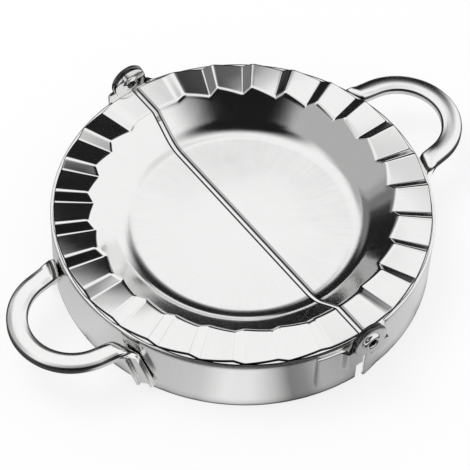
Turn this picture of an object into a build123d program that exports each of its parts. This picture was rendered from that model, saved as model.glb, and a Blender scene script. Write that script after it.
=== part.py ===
"""Hinged stainless steel press for filled dough pockets.

Two identical halves lie open side by side. Each half is a pressed tray with half a dish
and a fluted rim, a half ring skirt that cuts the dough, and a bail handle. The halves
turn on two rivets, one at each end of the seam.

Frame: +Z up, origin on the table at the middle of the seam. The hinge axis runs along Y,
the handles point along +X and -X. Lengths are millimetres, angles are degrees. The right
half lies at +X, and the left half is the same half turned half a turn about Z.
"""
import os
from math import cos, radians, sin, sqrt, tan

from build123d import *

# Tray: rim, flutes and dish
rim_level = 17.2
rim_radius = 46.9
rim_inner_radius = 37.75
tray_sheet = 0.6
seam_gap = 1.0
flute_rise = 1.25
flute_pitch = 13.0
flute_step = 3.3
flute_risers = 13
dish_depth = 6.4
dish_slope = 38.0
dish_corner = 8.5

# Skirt: the cutting ring
skirt_sheet = 0.8
skirt_end_gap = 2.0
rim_lip = 0.1
edge_bevel = 0.3

# Ear at one end of each skirt: the strip's end stands out a little, steps outwards above
# the foot of a slit, and is flat round the rivet
closing_gap = 0.7
ear_radius = 4.75
ear_side = 5.9
ear_slit = 1.1
ear_foot = 8.0
ear_joggle = 4.4
ear_foot_step = 0.7
ear_clearance = 0.1

# Leaf at the other end, welded on the skirt, with a tongue behind the other half's ear
leaf_sheet = 0.8
leaf_standoff = 1.1
pad_start_angle = 8.5
pad_angle = 6.7
pad_bottom = 4.5
pad_drop = 0.7
tongue_bottom = 9.0
tongue_radius = 4.6
tongue_start = 5.2
tongue_shoulder_angle = 40.0

# Rivets: a rolled head round a well outside, a low dome inside
rivet_radius = 1.5
rivet_head_radius = 2.6
rivet_head_height = 0.8
rivet_well_radius = 0.95
rivet_well_sink = 0.4
rivet_tail_radius = 2.3
rivet_tail_height = 0.6
running_clearance = 0.05

# Handles: a channel, open below, with both ends folded down on the skirt
handle_drop = 3.2
handle_stand = 17.2
handle_loop_radius = 13.4
handle_flare_angle = 8.0
handle_leg_angle = 21.0
handle_width = 5.2
handle_height = 2.0
handle_sheet = 0.8
handle_crown_rise = 0.4
handle_shoulder = 0.6
handle_bend = 3.6
handle_foot = 0.8
handle_set_angle = 1.1

# Cuts run past what they cut by this much
overrun = 5.0

half_seam = seam_gap / 2
half_end = skirt_end_gap / 2
skirt_inner = rim_radius
skirt_outer = skirt_inner + skirt_sheet
skirt_top = rim_level - flute_rise / 2 - rim_lip
pivot_level = rim_level + closing_gap / 2
tongue_inner = skirt_outer + leaf_standoff
tongue_outer = tongue_inner + leaf_sheet
ear_inner = tongue_outer + ear_clearance
ear_outer = ear_inner + skirt_sheet
full_turn = 360.0
half_turn = full_turn / 2
quarter_turn = half_turn / 2


def rim_stations():
    """Angle and height above the rim's mean level of each break line in the flutes."""
    crest = flute_rise / 2
    first = -flute_pitch * (flute_risers - 1) / 2
    stations = [(-quarter_turn - flute_step, 0), (first - flute_step / 2, 0)]
    stations.append((first + flute_step / 2, -crest))
    for index in range(1, flute_risers - 1):
        middle = first + flute_pitch * index
        stations.append((middle - flute_step / 2, crest))
        stations.append((middle + flute_step / 2, -crest))
    stations.append((-first - flute_step / 2, crest))
    stations += [(-first + flute_step / 2, 0), (quarter_turn + flute_step, 0)]
    return stations


def radial_plane(angle):
    """Plane through the Z axis whose local x points outwards at this angle."""
    outwards = (cos(radians(angle)), sin(radians(angle)), 0)
    sideways = (sin(radians(angle)), -cos(radians(angle)), 0)
    return Plane(origin=(0, 0, 0), x_dir=outwards, z_dir=sideways)


def circle_y(radius, x):
    """Distance from the X axis to the circle of this radius at x."""
    return sqrt(radius**2 - x**2)


def circle_spot(centre, radius, angle):
    """Point on a circle at this angle, from its centre's x and y."""
    return (centre[0] + radius * cos(radians(angle)), centre[1] + radius * sin(radians(angle)))


# The dish is drawn as the solid below a surface: a flat floor, a soft corner and a sloping
# wall that runs on past the rim. The flutes are cut into its top by a ruled loft through
# one upright rectangle at each break line. The tray is this solid less the same solid
# one sheet lower.
slope = tan(radians(dish_slope))
floor_level = rim_level - dish_depth
floor_radius = rim_inner_radius - dish_depth / slope
flute_root = rim_inner_radius - overrun
flute_end = rim_radius + overrun
wall_end = flute_end + overrun
wall_top = rim_level + (wall_end - rim_inner_radius) * slope
air_top = wall_top + overrun


def solid_below(depth):
    """Solid below the tray's upper face, less a layer of this depth all over that face."""
    slant = depth / cos(radians(dish_slope))
    level = floor_level - depth
    radius = floor_radius + (slant - depth) / slope
    with BuildPart() as solid:
        with BuildSketch(Plane.XZ):
            with BuildLine():
                Polyline(
                    (0, -overrun),
                    (0, level),
                    (radius, level),
                    (wall_end, wall_top - slant),
                    (wall_end, -overrun),
                    close=True,
                )
            make_face()
        revolve(axis=Axis.Z, revolution_arc=full_turn)
        circles = solid.edges().filter_by(GeomType.CIRCLE)
        corner = circles.sort_by(
            lambda edge: abs(edge.center().Z - level) + abs(edge.radius - radius)
        )[0]
        fillet(corner, radius=dish_corner + depth)
        for angle, height in rim_stations():
            bottom = rim_level + height - depth
            with BuildSketch(radial_plane(angle)):
                with Locations(((flute_root + flute_end) / 2, (bottom + air_top) / 2)):
                    Rectangle(flute_end - flute_root, air_top - bottom)
        loft(ruled=True, mode=Mode.SUBTRACT)
    return solid.part


with BuildPart() as right_press_tray:
    add(solid_below(0))
    add(solid_below(tray_sheet), mode=Mode.SUBTRACT)
    with BuildSketch(Plane.XY.offset(-overrun)):
        Circle(rim_radius)
        split(bisect_by=Plane.YZ.offset(half_seam), keep=Keep.TOP)
    extrude(amount=air_top, mode=Mode.INTERSECT)
right_press_tray.part.label = "right_press_tray"


# The skirt is a half ring with a bevelled cutting edge. Its front end stands a little
# outwards. Above the slit's foot it steps right out, and carries the ear.
slit_edge = ear_side + ear_slit
ear_shoulder = ear_foot + ear_joggle
ear_notch = pivot_level - ear_radius / 2
end_inner = circle_y(skirt_inner, half_end) + ear_foot_step
end_outer = end_inner + skirt_sheet

with BuildPart() as right_skirt:
    with BuildSketch(Plane.XY):
        Circle(skirt_outer)
        Circle(skirt_inner, mode=Mode.SUBTRACT)
        split(bisect_by=Plane.YZ.offset(half_end), keep=Keep.TOP)
    extrude(amount=skirt_top)
    cutting_edge = right_skirt.edges().filter_by(GeomType.CIRCLE).group_by(Axis.Z)[0]
    chamfer(cutting_edge.sort_by(SortBy.RADIUS)[-1], length=edge_bevel)
    with BuildSketch(Plane.XY):
        with Locations((0, -skirt_outer)):
            Rectangle(slit_edge * 2, skirt_outer)
    extrude(amount=skirt_top, mode=Mode.SUBTRACT)
    with BuildSketch(Plane.XY):
        with BuildLine():
            Polyline(
                (half_end, -end_inner),
                (ear_side, -circle_y(skirt_inner, ear_side)),
                (slit_edge, -circle_y(skirt_inner, slit_edge)),
                (slit_edge, -circle_y(skirt_outer, slit_edge)),
                (ear_side, -circle_y(skirt_outer, ear_side)),
                (half_end, -end_outer),
                close=True,
            )
        make_face()
    extrude(amount=ear_foot)
    with BuildSketch(Plane.XY.offset(ear_foot)):
        with BuildLine():
            Polyline(
                (half_end, -end_inner),
                (ear_side, -circle_y(skirt_inner, ear_side)),
                (ear_side, -circle_y(skirt_outer, ear_side)),
                (half_end, -end_outer),
                close=True,
            )
        make_face()
    with BuildSketch(Plane.XY.offset(ear_shoulder)):
        with BuildLine():
            Polyline(
                (half_end, -ear_inner),
                (ear_side, -ear_inner),
                (ear_side, -ear_outer),
                (half_end, -ear_outer),
                close=True,
            )
        make_face()
    loft(ruled=True)
    with BuildSketch(Plane.XZ.offset(ear_inner)):
        with Locations((0, pivot_level)):
            Circle(ear_radius)
        with BuildLine():
            Polyline(
                (half_end, ear_shoulder),
                (ear_side, ear_shoulder),
                (ear_side, ear_notch),
                (0, pivot_level),
                (half_end, ear_notch),
                close=True,
            )
        make_face()
        with Locations((0, pivot_level)):
            Circle(rivet_radius, mode=Mode.SUBTRACT)
    extrude(amount=skirt_sheet)
right_skirt.part.label = "right_skirt"


# The leaf lies on the rear end of the right skirt. Its pad follows the skirt, and its
# narrower tongue steps outwards to pass behind the left half's ear.
pad_outer = skirt_outer + leaf_sheet
pad_top = skirt_top - pad_drop
pad_near_angle = quarter_turn - pad_start_angle
pad_far_angle = pad_near_angle - pad_angle
pad_reach = pad_outer + overrun

with BuildPart() as rear_hinge_leaf:
    with BuildSketch(Plane.XY.offset(pad_bottom)):
        Circle(pad_outer)
        Circle(skirt_outer, mode=Mode.SUBTRACT)
        with BuildLine():
            Polyline(
                (0, 0),
                circle_spot((0, 0), pad_reach, pad_far_angle),
                circle_spot((0, 0), pad_reach, pad_near_angle),
                close=True,
            )
        make_face(mode=Mode.INTERSECT)
    extrude(amount=pad_top - pad_bottom)
    with BuildSketch(radial_plane(pad_near_angle)):
        with Locations(((skirt_outer + pad_outer) / 2, (tongue_bottom + pad_top) / 2)):
            Rectangle(leaf_sheet, pad_top - tongue_bottom)
    with BuildSketch(Plane.YZ.offset(tongue_start)):
        with Locations(((tongue_inner + tongue_outer) / 2, (tongue_bottom + pad_top) / 2)):
            Rectangle(leaf_sheet, pad_top - tongue_bottom)
    loft(ruled=True)
    with BuildSketch(Plane.XZ.offset(-tongue_outer)):
        with Locations((0, pivot_level)):
            Circle(tongue_radius)
        with BuildLine():
            Polyline(
                (half_end, tongue_bottom),
                (tongue_start, tongue_bottom),
                (tongue_start, pad_top),
                circle_spot((0, pivot_level), tongue_radius, tongue_shoulder_angle),
                (half_end, pivot_level),
                close=True,
            )
        make_face()
        with Locations((0, pivot_level)):
            Circle(rivet_radius + running_clearance, mode=Mode.SUBTRACT)
    extrude(amount=leaf_sheet)
rear_hinge_leaf.part.label = "rear_hinge_leaf"


# The rivet is set in the ear. Its head is rolled round a well and stands outside, and its
# tail keeps the tongue. The profile runs from the tail's tip to the floor of the well.
tail_base = -tongue_inner + running_clearance
head_middle = (rivet_head_radius + rivet_well_radius) / 2
well_floor = -ear_outer + rivet_well_sink

with BuildPart() as front_hinge_rivet:
    with BuildSketch(Plane.YZ):
        with BuildLine():
            tail = TangentArc(
                (tail_base + rivet_tail_height, pivot_level),
                (tail_base, pivot_level + rivet_tail_radius),
                tangent=(0, 1),
            )
            shank = Polyline(
                tail @ 1,
                (tail_base, pivot_level + rivet_radius),
                (-ear_outer, pivot_level + rivet_radius),
                (-ear_outer, pivot_level + rivet_head_radius),
            )
            head = ThreePointArc(
                shank @ 1,
                (-ear_outer - rivet_head_height, pivot_level + head_middle),
                (-ear_outer, pivot_level + rivet_well_radius),
            )
            Polyline(
                head @ 1,
                (well_floor, pivot_level + rivet_well_radius),
                (well_floor, pivot_level),
                tail @ 0,
            )
        make_face()
    revolve(axis=Axis((0, 0, pivot_level), (0, 1, 0)), revolution_arc=full_turn)
front_hinge_rivet.part.label = "front_hinge_rivet"


# The handle is one channel strip. Its loop lies level: a round end and two sides that
# spread a little towards the skirt. Each side runs on at a slant over a fold whose axis is
# parallel to the skirt, so its leg slants too and lies with its crown on the skirt.
handle_level = rim_level - handle_drop
tip_x = skirt_outer + handle_stand
loop_centre = tip_x - handle_loop_radius
side_angle = quarter_turn - handle_flare_angle
side_start = circle_spot((loop_centre, 0), handle_loop_radius, side_angle)
inwards = Vector(-cos(radians(handle_flare_angle)), sin(radians(handle_flare_angle)), 0)

# Directions at the leg: away from the skirt, along it, and up
out = Vector(*circle_spot((0, 0), 1, handle_leg_angle), 0)
along = Vector(-out.Y, out.X, 0)
up = Vector(0, 0, 1)
slant = radians(handle_leg_angle + handle_flare_angle)
fold_distance = skirt_outer + handle_bend
side_length = (Vector(*side_start, 0).dot(out) - fold_distance) / cos(slant)
fold_start = Vector(*side_start, handle_level) + inwards * side_length
fold_axis = fold_start - up * handle_bend
fold_advance = handle_bend * radians(quarter_turn) * tan(slant)
sweep_end = fold_start - inwards * (handle_width / 2)
leg_top = fold_axis - out * handle_bend + along * fold_advance
foot_level = handle_foot + handle_width / 2 * sin(slant)
leg_length = (leg_top.Z - foot_level) / cos(slant)
leg_way = along * sin(slant) - up * cos(slant)
fold_steps = 6


def channel_face(origin, across, crown, stretch=1):
    """Channel section across the strip.

    Its crown looks along crown at the origin, and stretch widens it for a slanting cut.
    """
    side = -handle_crown_rise
    outer = handle_width / 2 * stretch
    inner = outer - handle_sheet * stretch
    with BuildSketch(Plane(origin=origin, x_dir=across, z_dir=across.cross(crown))) as channel:
        with BuildLine():
            Polyline(
                (-outer, side),
                (-outer, -handle_height),
                (-inner, -handle_height),
                (-inner, side - handle_sheet),
                (inner, side - handle_sheet),
                (inner, -handle_height),
                (outer, -handle_height),
                (outer, side),
            )
            ThreePointArc((outer, side), (0, 0), (-outer, side))
        make_face()
        corners = channel.vertices().sort_by(
            lambda spot: abs(abs(spot.X) - outer) + abs(spot.Y - side)
        )
        fillet(corners[:2], radius=handle_shoulder)
    return channel.sketch


def fold_section(angle):
    """Channel section at this angle round the fold, cut by a plane through the fold's axis."""
    crown = up * cos(radians(angle)) - out * sin(radians(angle))
    way = along * (fold_advance * angle / quarter_turn)
    return channel_face(fold_axis + crown * handle_bend + way, along, crown, 1 / cos(slant))


with BuildPart() as right_handle:
    with BuildLine(Plane.XY.offset(handle_level)) as loop:
        side = Line((sweep_end.X, sweep_end.Y), side_start)
        ThreePointArc(
            side @ 1,
            circle_spot((loop_centre, 0), handle_loop_radius, side_angle / 2),
            (tip_x, 0),
        )
    side_section = channel_face(sweep_end, inwards.cross(up), up)
    sweep(sections=side_section, path=loop.wire())
    loft(sections=[side_section, fold_section(0)], ruled=True)
    angles = [quarter_turn * index / fold_steps for index in range(fold_steps + 1)]
    loft(sections=[fold_section(angle) for angle in angles])
    foot = channel_face(leg_top + leg_way * leg_length, along * cos(slant) + up * sin(slant), out * -1)
    loft(sections=[fold_section(quarter_turn), foot], ruled=True)
    mirror(about=Plane.XZ)
right_handle.part = right_handle.part.rotate(Axis.Z, handle_set_angle)
right_handle.part.label = "right_handle"


# The left half is the right half turned half a turn, so its ear is at the rear and its
# leaf at the front.
turned = {
    "left_press_tray": right_press_tray,
    "left_skirt": right_skirt,
    "left_handle": right_handle,
    "front_hinge_leaf": rear_hinge_leaf,
    "rear_hinge_rivet": front_hinge_rivet,
}
pieces = [right_press_tray, right_skirt, right_handle, rear_hinge_leaf, front_hinge_rivet]
solids = [piece.part for piece in pieces]
for name, source in turned.items():
    with BuildPart() as copy:
        add(source.part.rotate(Axis.Z, half_turn))
    copy.part.label = name
    solids.append(copy.part)

os.makedirs("parts", exist_ok=True)
for solid in solids:
    export_step(solid, f"parts/{solid.label}.step")
    print(solid.label, round(solid.volume, 1), solid.bounding_box())
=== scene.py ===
"""Scene of a hinged stainless steel press for filled dough pockets.

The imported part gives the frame, the bodies and the places. Each half is a pressed tray, a
skirt with its ear, a bail handle, a hinge leaf and a rivet, made here in metres in the
part's own frame. The left half is the right half turned half a turn about Z.
"""
import logging
from collections.abc import Iterable, Sequence
from dataclasses import dataclass, field
from enum import Enum
from functools import partialmethod
from math import acos, asin, atan2, cos, pi, radians, sin, sqrt, tan

import bmesh
import bpy
from mathutils import Matrix, Vector


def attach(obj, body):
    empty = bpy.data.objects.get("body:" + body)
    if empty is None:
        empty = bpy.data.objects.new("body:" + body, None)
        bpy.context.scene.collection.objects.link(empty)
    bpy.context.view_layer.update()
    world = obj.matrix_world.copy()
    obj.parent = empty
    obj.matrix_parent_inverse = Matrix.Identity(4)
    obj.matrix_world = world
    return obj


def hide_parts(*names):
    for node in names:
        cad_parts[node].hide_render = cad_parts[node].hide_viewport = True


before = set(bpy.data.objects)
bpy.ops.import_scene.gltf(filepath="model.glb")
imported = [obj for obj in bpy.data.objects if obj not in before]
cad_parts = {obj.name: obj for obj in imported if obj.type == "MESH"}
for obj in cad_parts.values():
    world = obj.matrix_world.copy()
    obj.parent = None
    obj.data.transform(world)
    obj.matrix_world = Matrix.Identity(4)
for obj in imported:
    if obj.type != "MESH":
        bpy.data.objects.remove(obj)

MM = 0.001
WELD = 0.002 * MM
FLOAT, INTEGER, VECTOR = "NodeSocketFloat", "NodeSocketInt", "NodeSocketVector"
GEOMETRY, MATERIAL, OBJECT = "NodeSocketGeometry", "NodeSocketMaterial", "NodeSocketObject"
log = logging.getLogger("press")


class Half(Enum):
    """The two halves of the press, by the body that each one rides on."""

    RIGHT = "right_half"
    LEFT = "left_half"

    def turn(self) -> Matrix:
        """The turn about Z that brings a point of the right half to this half."""
        return Matrix.Rotation(0 if self is Half.RIGHT else pi, 4, "Z")


# Node trees
@dataclass
class Field:
    """A value in a node tree, with arithmetic that makes Math nodes.

    Args:
        graph: The graph that the value belongs to.
        socket: The output socket that gives it.
    """

    graph: "Graph"
    socket: bpy.types.NodeSocket

    def joined(self, operation: str, other: "Field | float", swapped: bool = False) -> "Field":
        """One Math node on this value and another."""
        values = (other, self) if swapped else (self, other)
        return self.graph.math(operation, *values)

    __add__ = __radd__ = partialmethod(joined, "ADD")
    __mul__ = __rmul__ = partialmethod(joined, "MULTIPLY")
    __sub__ = partialmethod(joined, "SUBTRACT")
    __rsub__ = partialmethod(joined, "SUBTRACT", swapped=True)
    __truediv__ = partialmethod(joined, "DIVIDE")


@dataclass
class Graph:
    """A node tree under construction.

    Args:
        tree: The tree that gets the nodes.
    """

    tree: bpy.types.NodeTree

    def put(self, socket: bpy.types.NodeSocket, value: object) -> None:
        """Links a field into an input, or sets the input's own value.

        Args:
            socket: The input.
            value: The field or the value.
        """
        if isinstance(value, Field):
            self.tree.links.new(value.socket, socket)
        else:
            socket.default_value = value

    def node(self, kind: str, inputs: dict | None = None, **settings: object) -> bpy.types.Node:
        """Adds a node.

        Args:
            kind: The node's type name.
            inputs: What goes into its inputs, by socket name or number.
            settings: Properties of the node.

        Returns:
            The new node.
        """
        made = self.tree.nodes.new(kind)
        for name, value in settings.items():
            setattr(made, name, value)
        for name, value in (inputs or {}).items():
            self.put(made.inputs[name], value)
        return made

    def field(self, node: bpy.types.Node, output: str | int = 0) -> Field:
        """An output of a node as a field."""
        return Field(self, node.outputs[output])

    def out(self, kind: str, inputs: dict | None = None, **settings: object) -> Field:
        """Adds a node, and gives its first output."""
        return self.field(self.node(kind, inputs, **settings))

    def effect(self, tree: bpy.types.NodeTree, vector: Field, scale: float) -> Field:
        """The number that a shared shader group makes from a vector, at a scale."""
        inputs = {"Vector": vector, "Scale": scale}
        return self.out("ShaderNodeGroup", inputs, node_tree=tree)

    def math(self, operation: str, *values: Field | float) -> Field:
        """One Math node on these values."""
        return self.out("ShaderNodeMath", dict(enumerate(values)), operation=operation)

    def share(
        self, value: Field, start: Field | float, end: Field | float, soft: bool = False
    ) -> Field:
        """How far a value is on its way from start to end, from 0 to 1.

        Args:
            value: The value.
            start: Where the share is 0.
            end: Where the share is 1.
            soft: Whether the share eases in and out.

        Returns:
            The share.
        """
        kind = "SMOOTHSTEP" if soft else "LINEAR"
        inputs = {0: value, 1: start, 2: end}
        return self.out("ShaderNodeMapRange", inputs, interpolation_type=kind)

    def split(self, vector: Field) -> tuple[Field, Field, Field]:
        """The three numbers of a vector."""
        made = self.node("ShaderNodeSeparateXYZ", {0: vector})
        return self.field(made, 0), self.field(made, 1), self.field(made, 2)

    def vector(self, x: Field | float, y: Field | float, z: Field | float) -> Field:
        """A vector of three numbers."""
        return self.out("ShaderNodeCombineXYZ", {0: x, 1: y, 2: z})


class Group(Graph):
    """A node group under construction.

    Args:
        name: The group's name.
        kind: The tree's type name.
        inputs: Socket type of each input, by name.
        outputs: Socket type of each output, by name.
    """

    def __init__(
        self, name: str, kind: str, inputs: dict[str, str], outputs: dict[str, str]
    ) -> None:
        """Makes the tree with its sockets, and the nodes at its two ends."""
        super().__init__(bpy.data.node_groups.new(name, kind))
        for way, sockets in (("INPUT", inputs), ("OUTPUT", outputs)):
            for label, socket_type in sockets.items():
                self.tree.interface.new_socket(name=label, in_out=way, socket_type=socket_type)
        entry = self.node("NodeGroupInput")
        self.given = {label: self.field(entry, label) for label in inputs}
        self.end = self.node("NodeGroupOutput")

    def giving(self, **results: Field) -> bpy.types.NodeTree:
        """Links the results to the group's outputs.

        Args:
            results: The field for each output, by name.

        Returns:
            The group's tree.
        """
        for label, value in results.items():
            self.put(self.end.inputs[label], value)
        return self.tree


class GeometryGroup(Group):
    """The geometry tree of a piece, with the piece's material among its inputs.

    Args:
        name: The tree's name.
        inputs: Socket type of each input of its own, by name.
    """

    def __init__(self, name: str, inputs: dict[str, str]) -> None:
        """Makes the tree with the sockets that every piece needs."""
        shape = {"Geometry": GEOMETRY}
        super().__init__(name, "GeometryNodeTree", shape | inputs | {"Material": MATERIAL}, shape)

    def welded(self, mesh: Field) -> Field:
        """The geometry with points that lie together made one."""
        return self.out("GeometryNodeMergeByDistance", {"Geometry": mesh, "Distance": WELD})

    def finished(self, mesh: Field) -> bpy.types.NodeTree:
        """Ends the tree: smooth faces, real instances and the piece's material.

        Args:
            mesh: The geometry so far.

        Returns:
            The tree.
        """
        smooth = self.out("GeometryNodeSetShadeSmooth", {"Geometry": mesh})
        real = self.out("GeometryNodeRealizeInstances", {"Geometry": smooth})
        inputs = {"Geometry": real, "Material": self.given["Material"]}
        return self.giving(Geometry=self.out("GeometryNodeSetMaterial", inputs))


def flute_height(group: Group, angle: Field) -> Field:
    """Height of the rim above its mean level, as a share of the crest, at an angle.

    Each flute climbs slowly with the angle and drops over one step. The pattern is odd
    about the half's middle, and its last steps end level.

    Args:
        group: The tray's tree.
        angle: Angle from the half's middle, in degrees.

    Returns:
        The share, from -1 to 1.
    """
    rule = group.given
    pitch, step, last = rule["Pitch"], rule["Step"], rule["Last Step"]
    ridge, valley = rule["Ridge Ease"], rule["Valley Ease"]
    turned = group.math("ABSOLUTE", angle)
    place = group.math("FRACT", turned / pitch)
    half_step = step / pitch / 2
    climb = (place - 0.5) / (0.5 - half_step)
    drop = (1 - place) / half_step
    positive = group.math("GREATER_THAN", angle, 0)
    upper = ridge * positive + valley * (1 - positive)
    lower = valley * positive + ridge * (1 - positive)
    crest = group.math("SMOOTH_MIN", climb, drop, upper)
    flute = group.math("SMOOTH_MAX", place / half_step * -1, crest, lower)
    last_climb = ((turned - last) / pitch + 0.5) / (0.5 - half_step)
    last_drop = group.math("SMOOTH_MAX", (last + step / 2 - turned) / step, 0, lower)
    last_flute = group.math("SMOOTH_MIN", last_climb, last_drop, upper)
    ending = group.math("GREATER_THAN", turned, last - pitch / 2)
    return (flute + (last_flute - flute) * ending) * group.math("SIGN", angle)


def rounded_drop(graph: Graph, distance: Field, radius: Field) -> Field:
    """How far a round edge lies below the flat, at a distance in from the edge."""
    inside = graph.math("MAXIMUM", radius - distance, 0)
    return radius - graph.math("SQRT", graph.math("MAXIMUM", radius * radius - inside * inside, 0))


def tray_tree() -> bpy.types.NodeTree:
    """Geometry tree of one pressed tray, its height a rule of angle and radius.

    Returns:
        The tree.
    """
    lengths = (
        "Rim Radius", "Inner Radius", "Rim Level", "Half Seam", "Crest", "Dish Depth",
        "Dish Slope", "Dish Corner", "Pitch", "Step", "Last Step", "Ridge Ease", "Valley Ease",
        "Crease Ease", "Edge Round", "Sheet",
    )
    group = GeometryGroup(
        "fluted_tray", dict.fromkeys(lengths, FLOAT) | {"Columns": INTEGER, "Rows": INTEGER}
    )
    rule = group.given
    sheet = {"Size X": 1, "Size Y": 1, "Vertices X": rule["Columns"], "Vertices Y": rule["Rows"]}
    grid = group.out("GeometryNodeMeshGrid", sheet)
    along, across, _ = group.split(group.out("GeometryNodeInputPosition"))
    outwards = across + 0.5

    # Columns crowd towards the seam, where the edge is round
    even = along * 2
    spread = (even + group.math("SINE", even * (pi / 2))) / 2
    mean_angle = spread * 90
    rise = rule["Crest"] * flute_height(group, mean_angle)
    slope = group.math("TANGENT", rule["Dish Slope"])
    crease = rule["Inner Radius"] + rise / slope
    floor_radius = rule["Inner Radius"] - rule["Dish Depth"] / slope
    corner = rule["Dish Corner"]
    corner_start = floor_radius - corner * group.math("TANGENT", rule["Dish Slope"] / 2)
    corner_width = corner * group.math("SINE", rule["Dish Slope"])
    corner_end = corner_start + corner_width

    # Rows: floor, closest at the middle, then corner, wall, flutes and the rim's round edge
    edge, seam = rule["Edge Round"], rule["Half Seam"]
    ends = (0.2, 0.4, 0.6, 0.93, 1)
    crowding = 3
    widths = (corner_width, crease - corner_end, rule["Rim Radius"] - edge - crease, edge)
    floor_rows = group.math("POWER", group.share(outwards, 0, ends[0]), crowding)
    radius = seam + (corner_start - seam) * floor_rows
    for start, end, width in zip(ends, ends[1:], widths):
        radius = radius + width * group.share(outwards, start, end)

    angle = spread * group.math("ARCCOSINE", group.math("MINIMUM", seam / radius, 1))
    flute = rule["Rim Level"] + rule["Crest"] * flute_height(group, angle * (180 / pi))
    run = group.math("MINIMUM", group.math("MAXIMUM", radius - corner_start, 0), corner_width)
    arc = corner - group.math("SQRT", corner * corner - run * run)
    wall = group.math("MAXIMUM", radius - corner_end, 0) * slope
    dish = rule["Rim Level"] - rule["Dish Depth"] + arc + wall
    height = group.math("SMOOTH_MIN", dish, flute, rule["Crease Ease"])
    x = radius * group.math("COSINE", angle)
    height = height - rounded_drop(group, x - seam, edge)
    height = height - rounded_drop(group, rule["Rim Radius"] - radius, edge)
    place = group.vector(x, radius * group.math("SINE", angle), height)
    shaped = group.out("GeometryNodeSetPosition", {"Geometry": grid, "Position": place})
    upper = group.out("GeometryNodeFlipFaces", {"Mesh": group.welded(shaped)})

    # The underside and the cut edges hang from the upper face
    inputs = {"Mesh": upper, "Offset": group.vector(0, 0, rule["Sheet"] * -1)}
    inputs |= {"Offset Scale": 1.0, "Individual": False}
    hung = group.out("GeometryNodeExtrudeMesh", inputs, mode="FACES")
    under = group.out("GeometryNodeFlipFaces", {"Mesh": hung})
    both = group.node("GeometryNodeJoinGeometry")
    for part in (upper, under):
        group.put(both.inputs[0], part)
    return group.finished(group.welded(group.field(both)))


def strip_tree() -> bpy.types.NodeTree:
    """Geometry tree of a strip: a closed section carried along a line of points.

    The line is the modifier's own mesh, and its "lift" attribute says where the section's
    crown faces.

    Returns:
        The tree.
    """
    group = GeometryGroup("carried_strip", {"Section": OBJECT})
    line = group.out("GeometryNodeMeshToCurve", {"Mesh": group.given["Geometry"]})
    named = {"Name": "lift"}
    lift = group.node("GeometryNodeInputNamedAttribute", named, data_type="FLOAT_VECTOR")
    inputs = {"Curve": line, "Normal": group.field(lift, "Attribute")}
    turned = group.out("GeometryNodeSetCurveNormal", inputs, mode="FREE")
    section = group.node("GeometryNodeObjectInfo", {"Object": group.given["Section"]})
    outline = group.out("GeometryNodeMeshToCurve", {"Mesh": group.field(section, "Geometry")})
    inputs = {"Curve": turned, "Profile Curve": outline, "Fill Caps": True}
    return group.finished(group.out("GeometryNodeCurveToMesh", inputs))


def turned_tree() -> bpy.types.NodeTree:
    """Geometry tree of a turned piece: an outline carried round a circle.

    The outline is the modifier's own mesh, with radius along x and height along y.

    Returns:
        The tree.
    """
    group = GeometryGroup("turned_rivet", {"Guide Radius": FLOAT, "Facets": INTEGER})
    rule = group.given
    ring = {"Resolution": rule["Facets"], "Radius": rule["Guide Radius"]}
    guide = group.out("GeometryNodeCurvePrimitiveCircle", ring)
    outline = group.out("GeometryNodeMeshToCurve", {"Mesh": rule["Geometry"]})
    turned = group.out("GeometryNodeCurveToMesh", {"Curve": guide, "Profile Curve": outline})
    return group.finished(group.welded(turned))


# Meshes
def show(name: str, mesh: bpy.types.Mesh) -> bpy.types.Object:
    """Puts a mesh into the scene as an object at the origin.

    Args:
        name: The object's name.
        mesh: The mesh.

    Returns:
        The object.
    """
    made = bpy.data.objects.new(name, mesh)
    bpy.context.scene.collection.objects.link(made)
    return made


def baked(source: bpy.types.Object) -> bpy.types.Mesh:
    """Makes an object's modifiers real, and removes the object.

    Args:
        source: The object.

    Returns:
        The plain mesh that its modifiers make.
    """
    graph = bpy.context.evaluated_depsgraph_get()
    mesh = bpy.data.meshes.new_from_object(source.evaluated_get(graph), depsgraph=graph)
    source.modifiers.clear()
    bpy.data.objects.remove(source)
    return mesh


def grown(
    tree: bpy.types.NodeTree, source: bpy.types.Mesh, values: dict[str, object]
) -> bpy.types.Mesh:
    """Runs a geometry tree.

    Args:
        tree: The tree.
        source: The mesh that carries the modifier.
        values: Values for the tree's inputs, by name.

    Returns:
        The result as a plain mesh.
    """
    carrier = show("carrier", source)
    modifier = carrier.modifiers.new("rule", "NODES")
    modifier.node_group = tree
    for item in tree.interface.items_tree:
        if item.in_out == "INPUT" and item.name in values:
            modifier[item.identifier] = values[item.name]
    return baked(carrier)


def line_mesh(points: Sequence[Sequence[float]], closed: bool = False) -> bpy.types.Mesh:
    """A mesh of edges through points in order.

    Args:
        points: The points.
        closed: Whether the last point joins the first.

    Returns:
        The mesh.
    """
    mesh = bpy.data.meshes.new("line")
    edges = [(i, i + 1) for i in range(len(points) - 1)]
    if closed:
        edges.append((len(points) - 1, 0))
    mesh.from_pydata([Vector(p).to_3d() for p in points], edges, [])
    return mesh


def closed_mesh(mesh: bpy.types.Mesh, sharp: float) -> bpy.types.Mesh:
    """Welds a mesh, turns its faces outwards and marks its sharp edges.

    Args:
        mesh: The mesh.
        sharp: Angle from which an edge is sharp, in degrees.

    Returns:
        The same mesh.
    """
    closed = bmesh.new()
    closed.from_mesh(mesh)
    bmesh.ops.remove_doubles(closed, verts=closed.verts, dist=WELD)
    bmesh.ops.recalc_face_normals(closed, faces=closed.faces)
    closed.to_mesh(mesh)
    closed.free()
    mesh.shade_smooth()
    mesh.set_sharp_from_angle(angle=radians(sharp))
    return mesh


def steps(start: float, end: float, count: int) -> list[float]:
    """Values from start to end, both among them, with this count of even steps."""
    return [start + (end - start) * i / count for i in range(count + 1)]


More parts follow.
